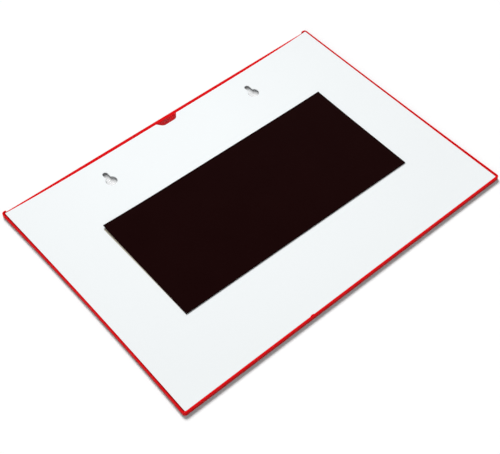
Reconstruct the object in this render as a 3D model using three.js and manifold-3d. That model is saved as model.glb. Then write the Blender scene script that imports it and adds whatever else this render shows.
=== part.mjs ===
// Magnetic document pocket for an A4 sheet, lying on its front with the magnet up.
// Millimetres, +X along the long side, +Y towards the open edge, +Z out of the back.
// The origin is on the front face, at the middle of the frame's outline.

import * as THREE from 'three';
import { mergeVertices } from 'three/addons/utils/BufferGeometryUtils.js';
import Module from 'manifold-3d';

const wasm = await Module();
wasm.setup();

// Driving dimensions

// Front frame: a flat border round the window, with a rim on three sides
const frameLength = 322;
const frameDepth = 230;
const frameCornerRadius = 2.6;
const borderWidth = 14;
const borderThickness = 0.9;
const windowCornerRadius = 4;
const rimWall = 1.2;
const rimProud = 0.35;
const rimCrestRadius = 0.5;
const hookLength = 4.4;
const ledgeWidth = 2;
const ledgeCornerRadius = 1;

// Catch lug on the inner side of the bottom rim
const lugOffset = -41.5;
const lugLength = 4.6;
const lugReach = 0.8;

// Window film, stuck to the inner face of the border
const filmThickness = 0.2;
const filmOverlap = 9.5;
const filmCornerRadius = 3;

// Back panel, seated on the ledge inside the rim
const documentGap = 1;
const panelThickness = 0.8;
const panelClearance = 0.25;
const panelCornerRadius = 1.6;
const panelSetback = 2.1;
const panelEdgeDip = 2.7;
const panelEdgeFlatness = 3.5;

// Cut-outs of the back panel: thumb notch and two keyholes
const cutoutOffset = -1.5;
const notchMouth = 21;
const notchFloor = 13;
const notchDepth = 5.4;
const notchCornerRadius = 2.4;
const keyholeSpacing = 150.4;
const keyholeHeadDepth = 30;
const keyholeHeadDiameter = 9.5;
const keyholeSlotWidth = 4.4;
const keyholeSlotRise = 8.7;

// Adhesive tape, and the flexible magnet stuck on it a little askew
const tapeLength = 222;
const tapeDepth = 99;
const tapeThickness = 0.15;
const tapeOffsetX = 1.2;
const tapeOffsetY = -0.4;
const magnetLength = 224;
const magnetDepth = 104.5;
const magnetThickness = 0.7;
const magnetOffsetX = 2.9;
const magnetOffsetY = -2.1;
const magnetTurn = THREE.MathUtils.degToRad(-0.7);
const magnetLiftLeft = 1.3;
const magnetLiftRight = 0.6;
const magnetLiftReach = 58;

// Facets
const cornerSteps = 6;
const crestSteps = 4;
const freeEdgeSteps = 16;
const roundSteps = 28;

// Levels above the front face
const filmTop = borderThickness + filmThickness;
const ledgeTop = filmTop + documentGap;
const panelTop = ledgeTop + panelThickness;
const rimTop = panelTop + rimProud;
const tapeTop = panelTop + tapeThickness;

// Outer half sizes, and the limits that the neighbours take from them
const halfLength = frameLength / 2;
const halfDepth = frameDepth / 2;
const panelHalfLength = halfLength - rimWall - panelClearance;
const panelBottom = -halfDepth + rimWall + panelClearance;
const panelTopEdge = halfDepth - panelSetback;
const windowHalfLength = halfLength - borderWidth;
const windowHalfDepth = halfDepth - borderWidth;

// Points of a quarter circle about (cx, cy), from the given angle on
function quarter(cx, cy, radius, startAngle) {
  return Array.from({ length: cornerSteps + 1 }, (_, i) => {
    const angle = startAngle + (i / cornerSteps) * (Math.PI / 2);
    return new THREE.Vector2(cx + radius * Math.cos(angle), cy + radius * Math.sin(angle));
  });
}

// Counter-clockwise rounded rectangle between two corners, as points
function roundedRectangle(x0, y0, x1, y1, radius) {
  return [
    ...quarter(x1 - radius, y1 - radius, radius, 0),
    ...quarter(x0 + radius, y1 - radius, radius, Math.PI / 2),
    ...quarter(x0 + radius, y0 + radius, radius, Math.PI),
    ...quarter(x1 - radius, y0 + radius, radius, -Math.PI / 2),
  ];
}

// Prism over an outline between two levels
function slab(points, z0, z1, holes = []) {
  const shape = new THREE.Shape(points);
  shape.holes = holes.map((hole) => new THREE.Path(hole));
  const geometry = new THREE.ExtrudeGeometry(shape, { depth: z1 - z0, bevelEnabled: false });
  geometry.translate(0, 0, z0);
  return geometry;
}

// Solid for joining and cutting
function toSolid(geometry) {
  const bare = geometry.clone();
  bare.deleteAttribute('normal');
  bare.deleteAttribute('uv');
  const merged = mergeVertices(bare, 1e-5);
  return new wasm.Manifold(new wasm.Mesh({
    numProp: 3,
    vertProperties: new Float32Array(merged.attributes.position.array),
    triVerts: new Uint32Array(merged.index.array),
  }));
}

function fromSolid(solid) {
  const { vertProperties, triVerts } = solid.getMesh();
  const geometry = new THREE.BufferGeometry();
  geometry.setAttribute('position', new THREE.BufferAttribute(new Float32Array(vertProperties), 3));
  geometry.setIndex(new THREE.BufferAttribute(new Uint32Array(triVerts), 1));
  geometry.computeVertexNormals();
  return geometry;
}

// Triangles that close a convex ring of points, and those that close a sheet's ring: a lower
// row, and above it the upper row walked back
function fanCap(count) {
  return Array.from({ length: count - 2 }, (_, i) => [0, i + 1, i + 2]);
}

function stripCap(count) {
  return Array.from({ length: count / 2 - 1 }, (_, j) => {
    const above = count - 1 - j;
    return [[j, j + 1, above - 1], [j, above - 1, above]];
  }).flat();
}

// Closed skin over a row of rings with the same number of points, each ring counter-clockwise
// as seen along the row
function loft(rings, cap) {
  const count = rings[0].length;
  const index = [];
  for (let k = 0; k < rings.length - 1; k += 1) {
    for (let i = 0; i < count; i += 1) {
      const a = k * count + i;
      const b = k * count + ((i + 1) % count);
      index.push(a, b + count, b, a, a + count, b + count);
    }
  }
  const last = (rings.length - 1) * count;
  cap(count).forEach(([a, b, c]) => index.push(a, b, c, last + a, last + c, last + b));
  const geometry = new THREE.BufferGeometry();
  const positions = rings.flat().flatMap((p) => [p.x, p.y, p.z]);
  geometry.setAttribute('position', new THREE.Float32BufferAttribute(positions, 3));
  geometry.setIndex(index);
  geometry.computeVertexNormals();
  return geometry;
}

// Rim of the frame: stations along the outline from one hook's end, down one side, along the
// bottom and up the other side to the other hook's end
function rimStations() {
  const r = frameCornerRadius;
  const x = halfLength - r;
  const y = halfDepth - r;
  const corner = (cx, cy, startAngle) => quarter(0, 0, 1, startAngle).map((outward) => ({
    at: new THREE.Vector2(cx + r * outward.x, cy + r * outward.y),
    outward,
  }));
  const hookEnd = (side) => ({
    at: new THREE.Vector2(side * (halfLength - hookLength), halfDepth),
    outward: new THREE.Vector2(0, 1),
  });
  return [
    hookEnd(-1),
    ...corner(-x, y, Math.PI / 2),
    ...corner(-x, -y, Math.PI),
    ...corner(x, -y, -Math.PI / 2),
    ...corner(x, y, 0),
    hookEnd(1),
  ];
}

// Section of the rim: inset from the outer side, and level, with a rounded crest
function rimSection() {
  const r = rimCrestRadius;
  const crest = (centre, startAngle) => Array.from({ length: crestSteps + 1 }, (_, i) => {
    const angle = startAngle - (i / crestSteps) * (Math.PI / 2);
    return { inset: centre + r * Math.cos(angle), level: rimTop - r + r * Math.sin(angle) };
  });
  return [
    { inset: 0, level: 0 },
    ...crest(r, Math.PI),
    ...crest(rimWall - r, Math.PI / 2),
    { inset: rimWall, level: 0 },
  ];
}

function makeRim() {
  const section = rimSection();
  return loft(rimStations().map(({ at, outward }) => section.map(({ inset, level }) => (
    new THREE.Vector3(at.x - outward.x * inset, at.y - outward.y * inset, level)
  ))), fanCap);
}

// Seat for the back panel: a step inside the rim, open along the top
function makeLedge() {
  const outline = roundedRectangle(-halfLength, -halfDepth, halfLength, halfDepth, frameCornerRadius);
  const inset = rimWall + ledgeWidth;
  const pocket = roundedRectangle(
    -halfLength + inset,
    -halfDepth + inset,
    halfLength - inset,
    halfDepth + inset,
    ledgeCornerRadius,
  );
  return toSolid(slab(outline, 0, ledgeTop)).subtract(toSolid(slab(pocket, -1, ledgeTop + 1)));
}

// Lug: a low round swelling of the rim that overlaps the panel's edge
function makeLug() {
  const innerLine = -halfDepth + rimWall;
  const root = innerLine - rimWall / 2;
  const points = Array.from({ length: cornerSteps * 2 + 1 }, (_, i) => {
    const angle = (i / (cornerSteps * 2)) * Math.PI;
    const x = lugOffset + (lugLength / 2) * Math.cos(angle);
    return new THREE.Vector2(x, innerLine + lugReach * Math.sin(angle));
  });
  points.push(new THREE.Vector2(lugOffset - lugLength / 2, root));
  points.push(new THREE.Vector2(lugOffset + lugLength / 2, root));
  return slab(points, panelTop, rimTop - rimCrestRadius / 4);
}

function makeFrontFrame() {
  const outline = roundedRectangle(-halfLength, -halfDepth, halfLength, halfDepth, frameCornerRadius);
  const windowHole = roundedRectangle(
    -windowHalfLength,
    -windowHalfDepth,
    windowHalfLength,
    windowHalfDepth,
    windowCornerRadius,
  );
  const border = toSolid(slab(outline, 0, borderThickness, [windowHole]));
  return fromSolid(border.add(makeLedge()).add(toSolid(makeRim())).add(toSolid(makeLug())));
}

function makeWindowFilm() {
  const x = windowHalfLength + filmOverlap;
  const y = windowHalfDepth + filmOverlap;
  return slab(roundedRectangle(-x, -y, x, y, filmCornerRadius), borderThickness, filmTop);
}

// Shallow dip of the panel's free edge between the hooks: a power curve, flat over the middle and
// rising faster towards the two corners
function panelEdgeAt(x) {
  const rise = Math.abs(x / panelHalfLength) ** panelEdgeFlatness;
  return panelTopEdge - panelEdgeDip * (1 - rise);
}

// Stretch of the free edge between two places, without its ends
function freeEdge(fromX, toX) {
  return Array.from({ length: freeEdgeSteps - 1 }, (_, i) => {
    const x = fromX + ((i + 1) / freeEdgeSteps) * (toX - fromX);
    return new THREE.Vector2(x, panelEdgeAt(x));
  });
}

// Rounded inner corner between two straight stretches, as a curve through its two tangent points
function softCorner(before, corner, after, radius) {
  const start = corner.clone().add(before.clone().sub(corner).setLength(radius));
  const end = corner.clone().add(after.clone().sub(corner).setLength(radius));
  return new THREE.QuadraticBezierCurve(start, corner, end).getPoints(cornerSteps);
}

// Outline of the thumb notch, walked from its right mouth corner to its left one
function notchOutline() {
  const point = (x, y) => new THREE.Vector2(cutoutOffset + x, y);
  const floorLevel = panelEdgeAt(cutoutOffset) - notchDepth;
  const right = point(notchMouth / 2, panelEdgeAt(cutoutOffset + notchMouth / 2));
  const left = point(-notchMouth / 2, panelEdgeAt(cutoutOffset - notchMouth / 2));
  const floorRight = point(notchFloor / 2, floorLevel);
  const floorLeft = point(-notchFloor / 2, floorLevel);
  return [
    right,
    ...softCorner(right, floorRight, floorLeft, notchCornerRadius),
    ...softCorner(floorRight, floorLeft, left, notchCornerRadius),
    left,
  ];
}

// Keyhole: a round head with a round-ended slot that rises towards the free edge
function keyholeOutline(side) {
  const headX = cutoutOffset + (side * keyholeSpacing) / 2;
  const headY = halfDepth - keyholeHeadDepth;
  const headRadius = keyholeHeadDiameter / 2;
  const slotRadius = keyholeSlotWidth / 2;
  const neckAngle = Math.acos(slotRadius / headRadius);
  const path = new THREE.Path();
  path.absarc(headX, headY, headRadius, Math.PI - neckAngle, 2 * Math.PI + neckAngle, false);
  path.absarc(headX, headY + keyholeSlotRise, slotRadius, 0, Math.PI, false);
  return path.getPoints(roundSteps);
}

function makeBackPanel() {
  const x = panelHalfLength;
  const r = panelCornerRadius;
  const outline = [
    ...quarter(-x + r, panelBottom + r, r, Math.PI),
    ...quarter(x - r, panelBottom + r, r, -Math.PI / 2),
    ...quarter(x - r, panelEdgeAt(x) - r, r, 0),
    ...freeEdge(x - r, cutoutOffset + notchMouth / 2),
    ...notchOutline(),
    ...freeEdge(cutoutOffset - notchMouth / 2, -x + r),
    ...quarter(-x + r, panelEdgeAt(x) - r, r, Math.PI / 2),
  ];
  return slab(outline, ledgeTop, panelTop, [keyholeOutline(-1), keyholeOutline(1)]);
}

function makeTape() {
  const tape = new THREE.BoxGeometry(tapeLength, tapeDepth, tapeThickness);
  return tape.translate(tapeOffsetX, tapeOffsetY, panelTop + tapeThickness / 2);
}

// Rise of the magnet where its two far corners have let go of the tape
function magnetLift(x, y) {
  const corner = (side, lift) => {
    const away = Math.hypot(x - (side * magnetLength) / 2, y - magnetDepth / 2);
    return lift * Math.max(0, 1 - away / magnetLiftReach) ** 2;
  };
  return corner(-1, magnetLiftLeft) + corner(1, magnetLiftRight);
}

// The magnet is a sheet of even thickness: rings of its section, carried along its length
function makeMagnet() {
  const lengthSteps = 32;
  const depthSteps = 16;
  const rings = Array.from({ length: lengthSteps + 1 }, (_, i) => {
    const x = (i / lengthSteps - 0.5) * magnetLength;
    const across = Array.from({ length: depthSteps + 1 }, (__, j) => (0.5 - j / depthSteps) * magnetDepth);
    const lower = across.map((y) => new THREE.Vector3(x, y, tapeTop + magnetLift(x, y)));
    const upper = lower.map((p) => p.clone().setZ(p.z + magnetThickness)).reverse();
    return [...lower, ...upper];
  });
  const turned = rings.map((ring) => ring.map((p) => {
    const x = p.x * Math.cos(magnetTurn) - p.y * Math.sin(magnetTurn) + magnetOffsetX;
    const y = p.x * Math.sin(magnetTurn) + p.y * Math.cos(magnetTurn) + magnetOffsetY;
    return new THREE.Vector3(x, y, p.z);
  }));
  return loft(turned, stripCap);
}

const redPlastic = new THREE.MeshStandardMaterial({ color: 0xe0141c, roughness: 0.35, metalness: 0 });
const clearFilm = new THREE.MeshStandardMaterial({
  color: 0xf4f8fa,
  roughness: 0.08,
  metalness: 0,
  transparent: true,
  opacity: 0.35,
});
const whitePlastic = new THREE.MeshStandardMaterial({ color: 0xf3f7f8, roughness: 0.5, metalness: 0 });
const beigeTape = new THREE.MeshStandardMaterial({ color: 0xc9bfa8, roughness: 0.7, metalness: 0 });
const darkMagnet = new THREE.MeshStandardMaterial({ color: 0x1d0e0e, roughness: 0.6, metalness: 0 });

function named(name, geometry, material) {
  const mesh = new THREE.Mesh(geometry, material);
  mesh.name = name;
  return mesh;
}

const pocket = new THREE.Group();
pocket.add(named('front_frame', makeFrontFrame(), redPlastic));
pocket.add(named('window_film', makeWindowFilm(), clearFilm));
pocket.add(named('back_panel', makeBackPanel(), whitePlastic));
pocket.add(named('adhesive_tape', makeTape(), beigeTape));
pocket.add(named('magnet_sheet', makeMagnet(), darkMagnet));

export default pocket;
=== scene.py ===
"""Looks of the magnetic document pocket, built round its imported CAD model.

The pocket lies on its front with the magnet up. Lengths are in metres: +X runs along the long
side, +Y towards the open edge and +Z out of the back. The pieces take their sizes from the
boxes of the CAD model's nodes, and what a box doesn't hold, such as a corner radius, is named
below.
"""

import math

import bmesh
import bpy
import numpy as np
from mathutils import Matrix, Vector
from mathutils.geometry import delaunay_2d_cdt


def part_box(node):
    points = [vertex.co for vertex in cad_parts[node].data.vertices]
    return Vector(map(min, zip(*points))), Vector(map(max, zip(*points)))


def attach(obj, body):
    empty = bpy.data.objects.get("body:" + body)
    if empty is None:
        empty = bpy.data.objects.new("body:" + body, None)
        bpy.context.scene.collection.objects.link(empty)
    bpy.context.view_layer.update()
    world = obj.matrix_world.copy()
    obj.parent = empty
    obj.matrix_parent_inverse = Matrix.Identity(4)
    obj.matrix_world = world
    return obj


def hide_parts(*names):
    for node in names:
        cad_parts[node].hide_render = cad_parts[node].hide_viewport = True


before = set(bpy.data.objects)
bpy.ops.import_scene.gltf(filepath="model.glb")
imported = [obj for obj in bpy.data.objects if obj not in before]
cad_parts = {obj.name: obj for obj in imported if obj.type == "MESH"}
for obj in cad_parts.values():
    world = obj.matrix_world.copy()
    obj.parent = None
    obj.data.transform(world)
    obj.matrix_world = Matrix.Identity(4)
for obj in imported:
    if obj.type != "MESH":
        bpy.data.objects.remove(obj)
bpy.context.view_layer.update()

BODY = "root"
MM = 0.001
QUARTER = math.pi / 2

# Moulded frame: widths of its rim, ledge and flat border, from the outline inwards
CORNER_RADIUS = 2.6 * MM
BORDER_WIDTH = 14 * MM
WINDOW_RADIUS = 4 * MM
RIM_WALL = 1.2 * MM
CREST_RADIUS = 0.32 * MM
LEDGE_WIDTH = 2 * MM
LEDGE_RADIUS = 1 * MM
MOULD_ROUND = 0.2 * MM
HOOK_LENGTH = 4.4 * MM
HOOK_ROUND = 0.7 * MM
HOOK_INWARD = 0.8 * MM
HOOK_SWELL = 0.5 * MM
LUG_X = -41.5 * MM
LUG_LENGTH = 4.6 * MM
LUG_REACH = 1.2 * MM

# Groove along the left rim, the level of its floor, and the thin lip between it and the panel
GROOVE_WIDTH = 0.82 * MM
GROOVE_NARROWING = 0.68 * MM
GROOVE_FLOOR = 1.95 * MM
LIP_WIDTH = 0.15 * MM
LIP_BELOW_PANEL = 0.03 * MM
LIP_END = 0.7 * MM

# Elsewhere the gap beside the panel is filled, to just under the panel's face
FILL_BELOW_PANEL = 0.06 * MM

# How far the sides are drawn in at their middle, as the moulding shrank
DRAWN_LEFT = 1.7 * MM
DRAWN_RIGHT = 0.55 * MM
DRAWN_TOP = 0.06 * MM

# Back panel and its cut-outs
PANEL_RADIUS = 0.8 * MM
PANEL_EDGE_ROUND = 0.12 * MM
EDGE_DIP = 2.55 * MM
EDGE_FLATNESS = 3.5
EDGE_SKEW = 0.15 * MM
SHORT_OF_LEFT = 0.75 * MM
SHORT_OF_BOTTOM = 0.35 * MM
SHORT_AT_RIGHT = 1.0 * MM
SHORT_MID_RIGHT = 0.25 * MM
CUTOUT_X = -1.5 * MM
NOTCH_MOUTH = 21 * MM
NOTCH_FLOOR = 13 * MM
NOTCH_DEPTH = 5.4 * MM
NOTCH_RADIUS = 2.4 * MM
KEYHOLE_SPACING = 150.4 * MM
KEYHOLE_DOWN = 30 * MM
KEYHOLE_HEAD = 9.5 * MM
KEYHOLE_SLOT = 4.4 * MM
KEYHOLE_RISE = 8.7 * MM

# Film, tape and magnet
FILM_RADIUS = 3 * MM
FILM_EDGE_ROUND = 0.04 * MM
FILM_FURTHER = 1.6 * MM
# Beyond this y the film carries painted shade: a mottled dark red tint over the border at the open
# edge
BORDER_SHADE_FROM = 100 * MM
TAPE_RADIUS = 0.3 * MM
TAPE_EDGE_ROUND = 0.03 * MM
MAGNET_THICK = 0.7 * MM
MAGNET_EDGE_ROUND = 0.1 * MM
MAGNET_TURN = math.radians(-0.7)
MAGNET_LIFT_LEFT = 1.3 * MM
MAGNET_LIFT_RIGHT = 0.6 * MM
MAGNET_LIFT_REACH = 58 * MM

# Spacing of the points that are added along a sheet's straight edges
EDGE_STEP = 6 * MM

# Numbers of steps along curves and sides
FRAME_CORNER_STEPS = 12
FRAME_SIDE_STEPS = 40
MOULD_ROUND_STEPS = 6
HOOK_STEPS = 8
LUG_STEPS = 24
PANEL_CORNER_STEPS = 10
PANEL_SIDE_STEPS = 39
KEYHOLE_HEAD_STEPS = 48
KEYHOLE_SLOT_STEPS = 20
FILM_CORNER_STEPS = 12
TAPE_CORNER_STEPS = 4
MAGNET_ROUND_STEPS = 4
MAGNET_DEPTH_STEPS = 48
MAGNET_LENGTH_STEPS = 96
FLOOR_RINGS = 8
FLOOR_SPOKES = 72

# Sides of the frame in the order in which its outline runs, and parts of its section
TOP, LEFT, BOTTOM, RIGHT = range(4)
IN_CORNER = -1
BORDER, LEDGE, RIM, LIP, GROOVE = range(5)

# Mesh clean-up: points this close are one, edges this short are none, sharper edges stay sharp
MERGE_DISTANCE = 2e-6
NO_LENGTH = 1e-6
SHARP_ANGLE = math.radians(35)

# Triangulation of a sheet's faces: triangles inside the outlines only, and its tolerance
INSIDE_OUTLINES = 1
TRIANGLE_TOLERANCE = 1e-7

# Least cosine of half a corner's turn, which bounds how far an outline's corner is moved
LEAST_COSINE = 0.3

# Camera, from a solve on the outline of the pocket in the photograph. Lens and sensor are in
# millimetres.
CAMERA_AZIMUTH = math.radians(-40.27)
CAMERA_ELEVATION = math.radians(52.63)
CAMERA_ROLL = math.radians(-0.55)
CAMERA_DISTANCE = 0.7798
CAMERA_AIM = (-0.0231, -0.0228, 0.0029)
CAMERA_LENS = 72.83
SENSOR_WIDTH = 36

# Lamps: name, level that a white surface gets from it, azimuth, elevation and softness
LAMPS = (
    ("key", 0.735, math.radians(69), math.radians(45), math.radians(24)),
    ("fill", 0.065, math.radians(212), math.radians(20), math.radians(40)),
)

# How far off the lamps stand, and the level of the even light from all round
LAMP_DISTANCE = 2
ROUND_LEVEL = 0.22

# Floor under the pocket, and the share of light that it throws on things
FLOOR_RADIUS = 3.0
FLOOR_LEVEL = -0.1 * MM
FLOOR_SHADE = 0.88

# Painted light on the panel: it is palest at this place, and painted shade turns it greyer between
# these distances from it
LIGHT_POOL_CENTRE = (-10 * MM, 100 * MM, 0)
LIGHT_POOL_FADE_FROM = 50 * MM
LIGHT_POOL_FADE_TO = 230 * MM

# Sockets of a mix node that take its two colours and give the mixed one
MIX_FIRST, MIX_SECOND, MIX_RESULT = 6, 7, 2

# Detail of the noise that gives the surface grain, and the range that most of it lies in
NOISE_DETAIL = 3
NOISE_LOW = 0.3
NOISE_HIGH = 0.7


def arc(cx, cy, radius, start, end, steps):
    """Points of a circle about (cx, cy) from one angle to another."""
    angle = np.linspace(start, end, steps + 1)
    return np.stack([cx + radius * np.cos(angle), cy + radius * np.sin(angle)], 1)


def rounded_rectangle(low, high, radius, steps):
    """Counter-clockwise outline of a rectangle with round corners."""
    return np.concatenate([
        arc(high[0] - radius, high[1] - radius, radius, 0, QUARTER, steps),
        arc(low[0] + radius, high[1] - radius, radius, QUARTER, 2 * QUARTER, steps),
        arc(low[0] + radius, low[1] + radius, radius, 2 * QUARTER, 3 * QUARTER, steps),
        arc(high[0] - radius, low[1] + radius, radius, 3 * QUARTER, 4 * QUARTER, steps),
    ])


def filled_in(loop, step=EDGE_STEP):
    """A closed outline with points added at even steps of its length, apart from those that
    would fall within an eighth of a step of a point it has."""
    closed = np.concatenate([loop, loop[:1]])
    length = np.concatenate([[0], np.cumsum(np.linalg.norm(np.diff(closed, axis=0), axis=1))])
    extra = np.arange(step / 2, length[-1], step)
    after = np.searchsorted(length, extra)
    near = np.minimum(extra - length[after - 1], length[after] - extra)
    place = np.sort(np.concatenate([length[:-1], extra[near > step / 8]]))
    return np.stack([np.interp(place, length, closed[:, k]) for k in (0, 1)], 1)


def inset_loop(loop, distance):
    """A closed outline moved towards its material: each point goes along the mean of its two
    edges' normals, by the distance over the cosine of half their turn."""
    ahead = np.roll(loop, -1, 0) - loop
    ahead /= np.linalg.norm(ahead, axis=1)[:, None]
    inward = np.stack([-ahead[:, 1], ahead[:, 0]], 1)
    mean = inward + np.roll(inward, 1, 0)
    mean /= np.linalg.norm(mean, axis=1)[:, None]
    cosine = np.clip(np.einsum("ij,ij->i", mean, inward), LEAST_COSINE, 1)
    return loop + mean * (distance / cosine)[:, None]


def inside(points, loop):
    """Which points lie inside a closed outline, by counting the edges that a ray crosses."""
    x, y = points[:, :1], points[:, 1:]
    x0, y0 = loop[:, 0], loop[:, 1]
    x1, y1 = np.roll(x0, -1), np.roll(y0, -1)
    spans = (y0 > y) != (y1 > y)
    rise = np.where(y1 == y0, 1, y1 - y0)
    crossing = x0 + (y - y0) / rise * (x1 - x0)
    return np.count_nonzero(spans & (x < crossing), axis=1) % 2 == 1


def grid_faces(rows, columns, wrap_rows=False, wrap_columns=False, start=0):
    """Quads of a grid of points stored row by row, closed on itself where asked."""
    i = np.arange(rows if wrap_rows else rows - 1)[:, None]
    j = np.arange(columns if wrap_columns else columns - 1)[None, :]
    i2, j2 = (i + 1) % rows, (j + 1) % columns
    corners = (i * columns + j, i * columns + j2, i2 * columns + j2, i2 * columns + j)
    return (np.stack(corners, -1).reshape(-1, 4) + start).tolist()


def drawn_in(points, top=DRAWN_TOP):
    """The sides as the moulding shrank: each point moves inwards by a parabola of its place
    along the side, times how near it is to that side."""
    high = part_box("front_frame")[1]
    x, y = points[:, 0] / high[0], points[:, 1] / high[1]
    left, right = np.clip(-x, 0, 1), np.clip(x, 0, 1)
    moved = points.copy()
    moved[:, 0] += (DRAWN_LEFT * left - DRAWN_RIGHT * right) * (1 - np.clip(y, -1, 1) ** 2)
    moved[:, 1] -= top * np.clip(y, 0, 1) * (1 - np.clip(x, -1, 1) ** 2)
    return moved


def new_piece(name, points, faces, node):
    """A mesh object of one closed surface: points that fall together are merged, faces with no
    area dissolved and the rest turned outwards. It stands for a CAD node and rides on its body."""
    mesh = bpy.data.meshes.new(name)
    mesh.from_pydata(np.asarray(points).tolist(), [], faces)
    work = bmesh.new()
    work.from_mesh(mesh)
    bmesh.ops.remove_doubles(work, verts=work.verts, dist=MERGE_DISTANCE)
    bmesh.ops.dissolve_degenerate(work, edges=work.edges, dist=NO_LENGTH)
    bmesh.ops.recalc_face_normals(work, faces=work.faces)
    work.to_mesh(mesh)
    work.free()
    mesh.polygons.foreach_set("use_smooth", np.ones(len(mesh.polygons), dtype=bool))
    mesh.set_sharp_from_angle(angle=SHARP_ANGLE)
    piece = bpy.data.objects.new(name, mesh)
    bpy.context.collection.objects.link(piece)
    flats = piece.modifiers.new("flats", "WEIGHTED_NORMAL")
    flats.mode = "FACE_AREA"
    flats.weight = 100
    flats.keep_sharp = True
    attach(piece, BODY)
    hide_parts(node)
    return piece


def plate(name, node, loops, low, high, edge, steps=4, warp=None):
    """A flat sheet with rounded edges. Its outlines, the outer one counter-clockwise and the
    holes clockwise, carry a section: a quarter circle out from the lower face, the straight
    side, and a quarter circle in to the upper face. Triangles fill both faces. A warp moves
    the finished points."""
    angle = np.linspace(0, QUARTER, steps + 1)
    inset = np.concatenate([edge * (1 - np.sin(angle)), edge * (1 - np.cos(angle))])
    level = np.concatenate([low + edge * (1 - np.cos(angle)), high - edge * (1 - np.sin(angle))])
    points, faces, lower, upper, edges = [], [], [], [], []
    start, count = 0, 0
    for loop in loops:
        ring = np.stack([inset_loop(loop, distance) for distance in inset])
        rows, columns = ring.shape[:2]
        levels = np.broadcast_to(level[:, None, None], (rows, columns, 1))
        points.append(np.concatenate([ring, levels], 2).reshape(-1, 3))
        faces += grid_faces(rows, columns, wrap_columns=True, start=start)
        lower.append(start + np.arange(columns))
        upper.append(start + (rows - 1) * columns + np.arange(columns))
        around = count + np.arange(columns)
        edges.append(np.stack([around, np.roll(around, -1)], 1))
        start += rows * columns
        count += columns
    points, lower, upper, edges = map(np.concatenate, (points, lower, upper, edges))
    flat = points[lower, :2]
    _, _, triangles, origins, _, _ = delaunay_2d_cdt(
        [Vector(p) for p in flat], edges.tolist(), [], INSIDE_OUTLINES, TRIANGLE_TOLERANCE)
    first = np.array([origin[0] for origin in origins])
    triangles = first[np.array(triangles)]
    middles = flat[triangles].mean(axis=1)
    outer, *holes = np.split(flat, np.cumsum([len(loop) for loop in loops])[:-1])
    keep = inside(middles, outer)
    for hole in holes:
        keep &= ~inside(middles, hole)
    triangles = triangles[keep]
    faces += lower[triangles].tolist() + upper[triangles].tolist()
    if warp:
        points = warp(points)
    return new_piece(name, points, faces, node)


def frame_stations(half_x):
    """Stations round the frame's outline, as rows of: the corner that each leaves, the corner
    that it heads for, how far it is on the way, the angle of its outward direction, and the
    side that it is on. They crowd at the hooks' rounded ends and at the lug, and the left side
    has one near each end, where the lip stops."""
    corners = np.array([(1, 1), (-1, 1), (-1, -1), (1, -1)], dtype=float)
    run = 2 * (half_x - CORNER_RADIUS)
    turn = np.linspace(0, QUARTER, HOOK_STEPS + 1)
    hook = (HOOK_LENGTH - CORNER_RADIUS - HOOK_ROUND * (1 - np.sin(turn))) / run
    hook = np.concatenate([[0], hook[:1] / 2, hook])
    half_turn = np.linspace(0, 2 * QUARTER, LUG_STEPS + 1)
    lug = (LUG_X - LUG_LENGTH / 2 * np.cos(half_turn) + run / 2) / run
    lip_end = LIP_END / (2 * half_x)
    plain = np.linspace(0, 1, FRAME_SIDE_STEPS + 1)[1:-1]
    ways = {
        TOP: np.concatenate([hook, plain, 1 - hook]),
        LEFT: np.concatenate([[lip_end], plain, [1 - lip_end]]),
        BOTTOM: np.concatenate([plain, lug]),
        RIGHT: plain,
    }
    rows = []
    for side, way in ways.items():
        here, there = corners[side], corners[(side + 1) % 4]
        for angle in np.linspace(0, QUARTER, FRAME_CORNER_STEPS + 1) + side * QUARTER:
            rows.append((*here, *here, 0, angle, IN_CORNER))
        rows += [(*here, *there, t, (side + 1) * QUARTER, side) for t in np.unique(way)]
    return np.array(rows, dtype=float).T


def frame_section(border_top, ledge_top, panel_top, rim_top):
    """The frame's section, as rows of inset, level, corner radius, part of the section and share
    of what is added to the rim's inner side. It runs from the foot of the outer wall along the
    front face to the window, back along the border, up the ledge and over the rim. Where no
    corner radius is given, the corner is concentric with the outline's."""
    e, c = MOULD_ROUND, CREST_RADIUS
    foot, groove = RIM_WALL + LEDGE_WIDTH, RIM_WALL + GROOVE_WIDTH
    lip = groove + LIP_WIDTH
    turn = np.linspace(0, QUARTER, MOULD_ROUND_STEPS + 1)
    rising, falling = 1 - np.cos(turn), 1 - np.sin(turn)
    stretches = [
        (e * rising, e * falling, None, BORDER, 0),
        (BORDER_WIDTH - e * falling, e * rising, WINDOW_RADIUS, BORDER, 0),
        (BORDER_WIDTH - e * rising, border_top - e * falling, WINDOW_RADIUS, BORDER, 0),
        (foot, border_top, LEDGE_RADIUS, BORDER, 0),
        (foot - e * rising, ledge_top - e * falling, LEDGE_RADIUS, LEDGE, 0),
        (lip, ledge_top, None, LEDGE, 0),
        (lip, ledge_top, None, LIP, 0),
        (groove, ledge_top, None, LIP, 0),
        (groove, ledge_top, None, GROOVE, 0),
        (RIM_WALL, ledge_top, None, GROOVE, 0),
        (RIM_WALL, panel_top, None, RIM, 0),
        (RIM_WALL, panel_top, None, RIM, 1),
        (RIM_WALL - c * rising, rim_top - c * falling, None, RIM, 1),
        (c * falling, rim_top - c * rising, None, RIM, 0),
    ]
    rows = []
    for inset, level, radius, part, share in stretches:
        inset, level = np.atleast_1d(inset, level)
        corner = CORNER_RADIUS - inset if radius is None else np.full_like(inset, radius)
        marks = [np.full_like(inset, mark) for mark in (part, share)]
        rows.append(np.stack([inset, level, corner, *marks]))
    return np.concatenate(rows, 1)


def narrowing(y, half_y):
    """How much narrower the left groove is at a place than at its ends, as a parabola."""
    return GROOVE_NARROWING * (1 - np.clip(y / half_y, -1, 1) ** 2)


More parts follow.
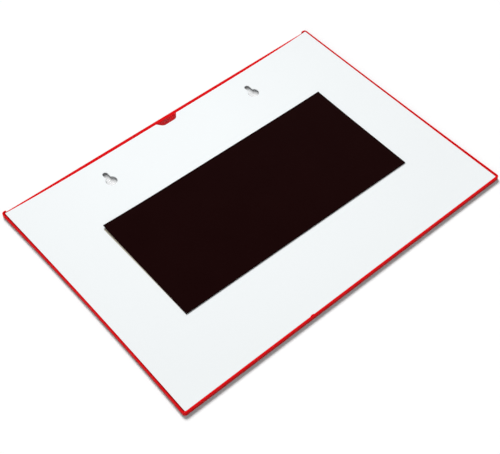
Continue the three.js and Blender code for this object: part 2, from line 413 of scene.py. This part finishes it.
def make_frame():
    """The frame as one closed surface: its section is carried once round the outline. At a point
    of the section with inset d and corner radius r, a station lies at its corner's sign times
    (half size - d - r), plus r along its outward direction. Along the open top the ledge sinks
    into the border, and so does the rim beyond the two hooks, by a quarter circle. The lug, a
    half ellipse, and the hooks' thickness are added to the rim's inner side. The lip and the
    groove are the left side's alone, and elsewhere that part of the section is the fill."""
    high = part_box("front_frame")[1]
    panel_low, panel_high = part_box("back_panel")
    border_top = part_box("window_film")[0][2]
    half_x, half_y = high[0], high[1]
    section = frame_section(border_top, panel_low[2], panel_high[2], high[2])
    inset, level, radius, part, inner_share = section
    stations = frame_stations(half_x)
    from_x, from_y, to_x, to_y, way, angle, side = (row[:, None] for row in stations)
    sign_x = from_x + (to_x - from_x) * way
    sign_y = from_y + (to_y - from_y) * way
    place = sign_x * (half_x - CORNER_RADIUS)
    on_top, on_left = side == TOP, side == LEFT
    beside_panel = (part == LIP) | (part == GROOVE)

    beyond = np.clip((half_x - HOOK_LENGTH + HOOK_ROUND - np.abs(place)) / HOOK_ROUND, 0, 1)
    rim_height = np.where(on_top, np.sqrt(1 - beyond ** 2), 1)
    ledge_height = np.where(on_top, 0, 1)
    height = np.where(part == RIM, rim_height, np.where(part == BORDER, 1, ledge_height))
    swell = np.sqrt(np.clip(1 - ((place - LUG_X) / (LUG_LENGTH / 2)) ** 2, 0, 1))
    begun = np.clip((half_x - CORNER_RADIUS - np.abs(place)) / HOOK_SWELL, 0, 1)
    inner = np.where(side == BOTTOM, LUG_REACH * swell, 0)
    inner -= np.where(on_top, HOOK_INWARD * begun * rim_height, 0)

    x = sign_x * (half_x - inset - radius) + radius * np.cos(angle)
    y = sign_y * (half_y - inset - radius) + radius * np.sin(angle) + inner * inner_share
    narrowed = on_left & beside_panel & (inset > RIM_WALL)
    x = x - np.where(narrowed, narrowing(y, half_y), 0)
    z = np.where(part == BORDER, level, border_top + (level - border_top) * height)
    fill = np.where(on_top, rim_height, side != LEFT)
    filled = border_top + (panel_high[2] - FILL_BELOW_PANEL - border_top) * fill
    z = np.where(beside_panel & (fill > 0), filled, z)
    z = np.where(on_left & (part == LIP), panel_high[2] - LIP_BELOW_PANEL, z)
    z = np.where(on_left & (part == GROOVE), GROOVE_FLOOR, z)
    points = np.stack([x, y, z], -1).reshape(-1, 3)
    faces = grid_faces(len(angle), len(inset), wrap_rows=True, wrap_columns=True)
    return new_piece("moulded_frame", drawn_in(points), faces, "front_frame")


def panel_edge(x, half, top):
    """The panel's free edge: a shallow dip, flat over the middle, that rises towards the two
    corners as a power of the distance from the middle. It is a touch higher at the right."""
    return top - EDGE_DIP * (1 - np.abs(x / half) ** EDGE_FLATNESS) + EDGE_SKEW * x / half


def soft_corner(before, corner, after, radius, steps=PANEL_CORNER_STEPS):
    """A corner rounded by a quadratic curve that starts and ends a radius away from it."""
    before, corner, after = map(np.asarray, (before, corner, after))
    start = corner + (before - corner) / np.linalg.norm(before - corner) * radius
    end = corner + (after - corner) / np.linalg.norm(after - corner) * radius
    t = np.linspace(0, 1, steps + 1)[:, None]
    return (1 - t) ** 2 * start + 2 * t * (1 - t) * corner + t ** 2 * end


def keyhole_loop(side, frame_top):
    """Clockwise outline of a keyhole: the head's arc from neck to neck, and the slot's end."""
    cx = CUTOUT_X + side * KEYHOLE_SPACING / 2
    cy = frame_top - KEYHOLE_DOWN
    head, slot = KEYHOLE_HEAD / 2, KEYHOLE_SLOT / 2
    neck = math.acos(slot / head)
    return np.concatenate([
        arc(cx, cy, head, 2 * QUARTER - neck, 4 * QUARTER + neck, KEYHOLE_HEAD_STEPS),
        arc(cx, cy + KEYHOLE_RISE, slot, 0, 2 * QUARTER, KEYHOLE_SLOT_STEPS),
    ])[::-1]


def make_panel():
    """The white back panel, with its thumb notch and keyholes. Its left edge follows the groove,
    its bottom edge stands a little clear of the rim, and its right edge runs askew, away from
    the rim at the closed side."""
    low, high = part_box("back_panel")
    frame_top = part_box("front_frame")[1][1]
    half, top, r = high[0], high[1], PANEL_RADIUS
    left_end, bottom = low[0] + SHORT_OF_LEFT, low[1] + SHORT_OF_BOTTOM
    floor = panel_edge(CUTOUT_X, half, top) - NOTCH_DEPTH
    mouth_right, mouth_left = (CUTOUT_X + side * NOTCH_MOUTH / 2 for side in (1, -1))
    right, left = ((x, panel_edge(x, half, top)) for x in (mouth_right, mouth_left))
    floor_right, floor_left = ((CUTOUT_X + side * NOTCH_FLOOR / 2, floor) for side in (1, -1))

    def free_edge(start, end):
        x = np.linspace(start, end, PANEL_SIDE_STEPS + 1)[1:-1]
        return np.stack([x, panel_edge(x, half, top)], 1)

    steps = PANEL_CORNER_STEPS
    down = np.linspace(top - EDGE_SKEW - r, bottom + r, PANEL_SIDE_STEPS + 1)[1:-1]
    outline = np.concatenate([
        arc(left_end + r, bottom + r, r, 2 * QUARTER, 3 * QUARTER, steps),
        arc(half - SHORT_AT_RIGHT - r, bottom + r, r, 3 * QUARTER, 4 * QUARTER, steps),
        [(half - SHORT_MID_RIGHT, 0)],
        arc(half - r, top + EDGE_SKEW - r, r, 0, QUARTER, steps),
        free_edge(half - r, mouth_right),
        [right],
        soft_corner(right, floor_right, floor_left, NOTCH_RADIUS),
        soft_corner(floor_right, floor_left, left, NOTCH_RADIUS),
        [left],
        free_edge(mouth_left, left_end + r),
        arc(left_end + r, top - EDGE_SKEW - r, r, QUARTER, 2 * QUARTER, steps),
        np.stack([left_end - narrowing(down, frame_top), down], 1),
    ])
    loops = [filled_in(outline), keyhole_loop(-1, frame_top), keyhole_loop(1, frame_top)]
    return plate("white_panel", "back_panel", loops, low[2], high[2], PANEL_EDGE_ROUND,
                 warp=lambda points: drawn_in(points, top=0))


def make_film():
    """The clear film over the window. It reaches a little further over the border at the open
    edge than its solid."""
    low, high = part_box("window_film")
    high = (high[0], high[1] + FILM_FURTHER, high[2])
    loop = filled_in(rounded_rectangle(low, high, FILM_RADIUS, FILM_CORNER_STEPS))
    return plate("clear_window", "window_film", [loop], low[2], high[2], FILM_EDGE_ROUND,
                 steps=2, warp=drawn_in)


def make_tape():
    """The adhesive sheet under the magnet."""
    low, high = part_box("adhesive_tape")
    loop = filled_in(rounded_rectangle(low, high, TAPE_RADIUS, TAPE_CORNER_STEPS))
    return plate("tape_sheet", "adhesive_tape", [loop], low[2], high[2], TAPE_EDGE_ROUND,
                 steps=2)


def magnet_rise(x, y, length, depth):
    """How far the sheet has let go of the tape: each far corner's lift, times the square of how
    near the point is to that corner."""
    def corner(side, lift):
        away = np.hypot(x - side * length / 2, y - depth / 2)
        return lift * np.clip(1 - away / MAGNET_LIFT_REACH, 0, None) ** 2
    return corner(-1, MAGNET_LIFT_LEFT) + corner(1, MAGNET_LIFT_RIGHT)


def make_magnet():
    """The flexible magnet: the section of a sheet with rounded sides is carried along its
    length, and its rounding shrinks by a quarter circle at both ends. Each stretch of the
    section is its place in y and z on the flat part, from -1 to 1, and the way that its
    rounding points. The sheet is lifted at its two far corners, turned and moved to its place.
    A turned sheet of length L and depth D fills a box of L cos + D sin by D cos + L sin, which
    is solved for L and D."""
    low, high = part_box("magnet_sheet")
    cosine, sine = math.cos(MAGNET_TURN), math.sin(MAGNET_TURN)
    box_x, box_y = high[0] - low[0], high[1] - low[1]
    spread = cosine ** 2 - sine ** 2
    length = (box_x * cosine - box_y * abs(sine)) / spread
    depth = (box_y * cosine - box_x * abs(sine)) / spread
    e = MAGNET_EDGE_ROUND

    turn = np.linspace(0, QUARTER, MAGNET_ROUND_STEPS + 1)
    across = np.linspace(1, -1, MAGNET_DEPTH_STEPS + 1)
    s, c = np.sin(turn)[1:-1], np.cos(turn)[1:-1]
    stretches = [
        (across, -1, 0, -1),
        (-1, -1, -s, -c),
        (-1, [-1, 1], -1, 0),
        (-1, 1, -c, s),
        (-across, 1, 0, 1),
        (1, 1, s, c),
        (1, [1, -1], 1, 0),
        (1, -1, c, -s),
    ]
    flat_y, flat_z, round_y, round_z = np.concatenate(
        [np.stack(np.broadcast_arrays(*stretch)) for stretch in stretches], 1)

    middle = np.linspace(-length / 2 + e, length / 2 - e, MAGNET_LENGTH_STEPS + 1)[1:-1]
    drawn = e * (1 - np.cos(turn))
    x = np.concatenate([drawn - length / 2, middle, length / 2 - drawn[::-1]])
    swell = np.concatenate([np.sin(turn), np.ones(len(middle)), np.sin(turn[::-1])])
    x, swell = x[:, None], swell[:, None]
    y = flat_y * (depth / 2 - e) + round_y * e * swell
    z = flat_z * (MAGNET_THICK / 2 - e) + round_z * e * swell + MAGNET_THICK / 2
    x = np.broadcast_to(x, y.shape)
    z = z + magnet_rise(x, y, length, depth) + low[2]
    turned_x = x * cosine - y * sine + (low[0] + high[0]) / 2
    turned_y = x * sine + y * cosine + (low[1] + high[1]) / 2

    rows, columns = y.shape
    faces = grid_faces(rows, columns, wrap_columns=True)
    j = np.arange(MAGNET_DEPTH_STEPS)
    above = columns // 2 + MAGNET_DEPTH_STEPS - j
    end = np.stack([j, j + 1, above - 1, above], 1)
    faces += end.tolist() + (end + (rows - 1) * columns).tolist()
    points = np.stack([turned_x, turned_y, z], -1).reshape(-1, 3)
    return new_piece("flexible_magnet", points, faces, "magnet_sheet")


def grain_group():
    """Node group for the surface of plastic and rubber: noise in the piece's own coordinates, at
    a broad and at a fine scale, gives two masks, and a bump of the fine one gives a normal."""
    group = bpy.data.node_groups.new("surface_grain", "ShaderNodeTree")
    face = group.interface
    face.new_socket("Vector", in_out="INPUT", socket_type="NodeSocketVector")
    for name in ("Broad Scale", "Fine Scale", "Height", "Strength"):
        face.new_socket(name, in_out="INPUT", socket_type="NodeSocketFloat")
    face.new_socket("Broad", in_out="OUTPUT", socket_type="NodeSocketFloat")
    face.new_socket("Fine", in_out="OUTPUT", socket_type="NodeSocketFloat")
    face.new_socket("Normal", in_out="OUTPUT", socket_type="NodeSocketVector")
    nodes, links = group.nodes, group.links
    given, result = nodes.new("NodeGroupInput"), nodes.new("NodeGroupOutput")
    bump = nodes.new("ShaderNodeBump")
    for name in ("Broad", "Fine"):
        noise = nodes.new("ShaderNodeTexNoise")
        noise.inputs["Detail"].default_value = NOISE_DETAIL
        links.new(given.outputs["Vector"], noise.inputs["Vector"])
        links.new(given.outputs[name + " Scale"], noise.inputs["Scale"])
        links.new(noise.outputs["Fac"], result.inputs[name])
    # The bump follows the last of the two, the fine one
    links.new(noise.outputs["Fac"], bump.inputs["Height"])
    links.new(given.outputs["Height"], bump.inputs["Distance"])
    links.new(given.outputs["Strength"], bump.inputs["Strength"])
    links.new(bump.outputs["Normal"], result.inputs["Normal"])
    return group


class Finish:
    """A material with its shader, and short ways to add nodes that feed it."""

    def __init__(self, name):
        self.material = bpy.data.materials.new(name)
        self.material.use_nodes = True
        self.nodes, self.links = self.material.node_tree.nodes, self.material.node_tree.links
        self.shader = self.nodes["Principled BSDF"]
        self.place = self.nodes.new("ShaderNodeTexCoord").outputs["Object"]

    def set(self, **values):
        """Constants on the shader's own sockets, named with _ for each space."""
        for name, value in values.items():
            self.shader.inputs[name.replace("_", " ")].default_value = value

    def feed(self, socket, name):
        """Links a node's socket to one of the shader's."""
        self.links.new(socket, self.shader.inputs[name])

    def grain(self, broad, fine, height, strength):
        """Surface grain of two scales, bumped by a height in metres. Gives both masks."""
        node = self.nodes.new("ShaderNodeGroup")
        node.node_tree = GRAIN
        self.links.new(self.place, node.inputs["Vector"])
        names = ("Broad Scale", "Fine Scale", "Height", "Strength")
        for name, value in zip(names, (broad, fine, height, strength)):
            node.inputs[name].default_value = value
        self.feed(node.outputs["Normal"], "Normal")
        return node.outputs["Broad"], node.outputs["Fine"]

    def between(self, mask, low, high, to_low, to_high):
        """A value that goes from one number to another as the mask does."""
        node = self.nodes.new("ShaderNodeMapRange")
        self.links.new(mask, node.inputs["Value"])
        names = ("From Min", "From Max", "To Min", "To Max")
        for name, value in zip(names, (low, high, to_low, to_high)):
            node.inputs[name].default_value = value
        return node.outputs["Result"]

    def blend(self, mask, first, second):
        """A colour between two, each a colour or a socket."""
        node = self.nodes.new("ShaderNodeMix")
        node.data_type = "RGBA"
        self.links.new(mask, node.inputs["Factor"])
        for k, value in ((MIX_FIRST, first), (MIX_SECOND, second)):
            if isinstance(value, tuple):
                node.inputs[k].default_value = (*value, 1)
            else:
                self.links.new(value, node.inputs[k])
        return node.outputs[MIX_RESULT]

    def weigh(self, mask, first, second):
        """A value that goes from a number to a socket's value as the mask does."""
        node = self.nodes.new("ShaderNodeMix")
        self.links.new(mask, node.inputs["Factor"])
        node.inputs["A"].default_value = first
        self.links.new(second, node.inputs["B"])
        return node.outputs["Result"]

    def roughen(self, mask, low, high):
        """Roughness that goes from one number to another over the range of a noise mask."""
        self.feed(self.between(mask, NOISE_LOW, NOISE_HIGH, low, high), "Roughness")

    def axis(self, index):
        """The place along one of the piece's axes: 0 for x, 1 for y, 2 for z."""
        node = self.nodes.new("ShaderNodeSeparateXYZ")
        self.links.new(self.place, node.inputs[0])
        return node.outputs[index]


def red_plastic():
    """Satin-gloss moulded red plastic, a touch uneven in tone and gloss. The light that it
    throws on things near it is greyer than itself, so that its shadow stays neutral."""
    finish = Finish("red_moulded_plastic")
    broad, fine = finish.grain(18, 1400, 0.000012, 0.25)
    red = finish.blend(broad, (0.675, 0.002, 0.004), (0.76, 0.003, 0.006))
    thrown = (0.20, 0.075, 0.075)
    path = finish.nodes.new("ShaderNodeLightPath")
    finish.feed(finish.blend(path.outputs["Is Diffuse Ray"], red, thrown), "Base Color")
    finish.roughen(fine, 0.46, 0.58)
    finish.set(Specular_IOR_Level=0.12)
    return finish.material


def white_sheet():
    """Smooth white plastic sheet with a faint cool cast. Painted light makes it palest near the
    middle of its free edge, and painted shade greys it away from there."""
    finish = Finish("white_plastic_sheet")
    broad, fine = finish.grain(9, 2200, 0.000006, 0.2)
    light = finish.blend(broad, (0.905, 0.94, 0.95), (0.92, 0.955, 0.965))
    # Painted light falloff: the colour greys with distance from the palest place
    away = finish.nodes.new("ShaderNodeVectorMath")
    away.operation = "DISTANCE"
    away.inputs[1].default_value = LIGHT_POOL_CENTRE
    finish.links.new(finish.place, away.inputs[0])
    far = finish.between(away.outputs["Value"], LIGHT_POOL_FADE_FROM, LIGHT_POOL_FADE_TO, 0, 1)
    # The grey of the painted shade
    greyer = (0.855, 0.886, 0.895)
    finish.feed(finish.blend(far, light, greyer), "Base Color")
    finish.roughen(fine, 0.42, 0.55)
    finish.set(Specular_IOR_Level=0.25)
    return finish.material


def clear_film():
    """Clear glossy film with a slight haze. Over the border beside the open edge it carries
    painted shade, a dark red tint mottled with lighter patches of painted reflection."""
    finish = Finish("clear_window_film")
    broad, fine = finish.grain(25, 260, 0.000004, 0.15)
    finish.roughen(broad, 0.05, 0.12)
    # Painted shade: beyond this y the film tints the border dark red, with a strength that the
    # mottle varies
    border_shade_zone = finish.between(finish.axis(1), BORDER_SHADE_FROM, BORDER_SHADE_FROM + MM, 0, 1)
    clear, painted_border_shade = (0.98, 0.99, 1.0), (0.24, 0.05, 0.06)
    finish.feed(finish.blend(border_shade_zone, clear, painted_border_shade), "Base Color")
    haze = 0.22
    painted_mottle = finish.between(fine, 0.35, 0.65, 0.05, 0.30)
    finish.feed(finish.weigh(border_shade_zone, haze, painted_mottle), "Alpha")
    return finish.material


def beige_tape():
    """Beige adhesive sheet, uneven in tone."""
    finish = Finish("beige_adhesive_sheet")
    broad, fine = finish.grain(60, 2500, 0.00002, 0.3)
    darker, paler = (0.45, 0.40, 0.31), (0.62, 0.58, 0.48)
    finish.feed(finish.blend(broad, darker, paler), "Base Color")
    finish.roughen(fine, 0.6, 0.8)
    return finish.material


def dark_magnet():
    """Matt brown-black flexible magnet."""
    finish = Finish("brown_black_magnet")
    broad, fine = finish.grain(30, 1500, 0.00002, 0.35)
    darker, paler = (0.0066, 0.0011, 0.0011), (0.0088, 0.0018, 0.0018)
    finish.feed(finish.blend(broad, darker, paler), "Base Color")
    finish.roughen(fine, 0.55, 0.72)
    finish.set(Specular_IOR_Level=0.02)
    return finish.material


def dress(piece, material):
    """Gives a piece its one material."""
    piece.data.materials.clear()
    piece.data.materials.append(material)


def seen_rays(nodes, links):
    """1 for rays of the camera, and for those that gloss or clear film sends on."""
    path = nodes.new("ShaderNodeLightPath")
    total = path.outputs["Is Camera Ray"]
    for name in ("Is Glossy Ray", "Is Transmission Ray"):
        either = nodes.new("ShaderNodeMath")
        either.operation = "MAXIMUM"
        links.new(total, either.inputs[0])
        links.new(path.outputs[name], either.inputs[1])
        total = either.outputs[0]
    return total


def make_floor():
    """A plain pale floor just under the pocket, one large disc. It is seen as white, and throws
    a little less light on the pocket than it shows."""
    rings = FLOOR_RADIUS * np.linspace(0, 1, FLOOR_RINGS + 1)[1:, None] ** 2
    angle = np.linspace(0, 4 * QUARTER, FLOOR_SPOKES + 1)[:-1]
    x, y = rings * np.cos(angle), rings * np.sin(angle)
    points = np.stack([x, y, np.full_like(x, FLOOR_LEVEL)], -1).reshape(-1, 3)
    points = np.concatenate([points, [[0, 0, FLOOR_LEVEL]]])
    faces = grid_faces(FLOOR_RINGS, FLOOR_SPOKES, wrap_columns=True)
    hub = len(points) - 1
    faces += [(j, (j + 1) % FLOOR_SPOKES, hub) for j in range(FLOOR_SPOKES)]
    mesh = bpy.data.meshes.new("pale_floor")
    mesh.from_pydata(points.tolist(), [], faces)
    floor = bpy.data.objects.new("pale_floor", mesh)
    bpy.context.collection.objects.link(floor)

    finish = Finish("pale_floor")
    seen = seen_rays(finish.nodes, finish.links)
    finish.feed(finish.blend(seen, (FLOOR_SHADE,) * 3, (1, 1, 1)), "Base Color")
    finish.set(Roughness=1, Specular_IOR_Level=0)
    mesh.materials.append(finish.material)


def make_lamp(name, level, azimuth, elevation, softness):
    """A far soft lamp. A white surface that lies level shows as the level under it. Gloss
    mirrors the even room instead of the lamp."""
    light = bpy.data.lights.new(name, "SUN")
    light.energy = level * math.pi / math.sin(elevation)
    light.angle = softness
    lamp = bpy.data.objects.new(name, light)
    towards = Vector((
        math.cos(azimuth) * math.cos(elevation),
        math.sin(azimuth) * math.cos(elevation),
        math.sin(elevation),
    ))
    lamp.rotation_euler = towards.to_track_quat("Z", "Y").to_euler()
    lamp.location = towards * LAMP_DISTANCE
    lamp.visible_glossy = False
    bpy.context.collection.objects.link(lamp)


def make_light():
    """A soft key lamp from the open edge's side, a weak low one from the camera's side for the
    rim's walls, and an even dim light from all round."""
    for lamp in LAMPS:
        make_lamp(*lamp)
    world = bpy.data.worlds.new("studio")
    bpy.context.scene.world = world
    world.use_nodes = True
    nodes, links = world.node_tree.nodes, world.node_tree.links
    strength = nodes.new("ShaderNodeMapRange")
    strength.inputs["To Min"].default_value = ROUND_LEVEL
    strength.inputs["To Max"].default_value = 1
    links.new(seen_rays(nodes, links), strength.inputs["Value"])
    background = nodes["Background"]
    background.inputs["Color"].default_value = (1, 1, 1, 1)
    links.new(strength.outputs["Result"], background.inputs["Strength"])


def make_camera():
    """The camera looks along the photograph's direction: back is the direction from the aim to
    the camera, level and up are at right angles to it, and the roll turns both about it."""
    back = Vector((
        math.sin(CAMERA_AZIMUTH) * math.cos(CAMERA_ELEVATION),
        -math.cos(CAMERA_AZIMUTH) * math.cos(CAMERA_ELEVATION),
        math.sin(CAMERA_ELEVATION),
    ))
    level = Vector((0, 0, 1)).cross(back).normalized()
    up = back.cross(level)
    right = math.cos(CAMERA_ROLL) * level + math.sin(CAMERA_ROLL) * up
    rolled_up = math.cos(CAMERA_ROLL) * up - math.sin(CAMERA_ROLL) * level
    data = bpy.data.cameras.new("camera")
    data.lens = CAMERA_LENS
    data.sensor_width = SENSOR_WIDTH
    data.sensor_fit = "HORIZONTAL"
    camera = bpy.data.objects.new("camera", data)
    turn = Matrix((right, rolled_up, back)).transposed().to_4x4()
    camera.matrix_world = Matrix.Translation(Vector(CAMERA_AIM) + back * CAMERA_DISTANCE) @ turn
    bpy.context.collection.objects.link(camera)
    bpy.context.scene.camera = camera


GRAIN = grain_group()
dress(make_frame(), red_plastic())
dress(make_film(), clear_film())
dress(make_panel(), white_sheet())
dress(make_tape(), beige_tape())
dress(make_magnet(), dark_magnet())
make_floor()
make_light()
make_camera()
bpy.context.scene.view_settings.view_transform = "Standard"
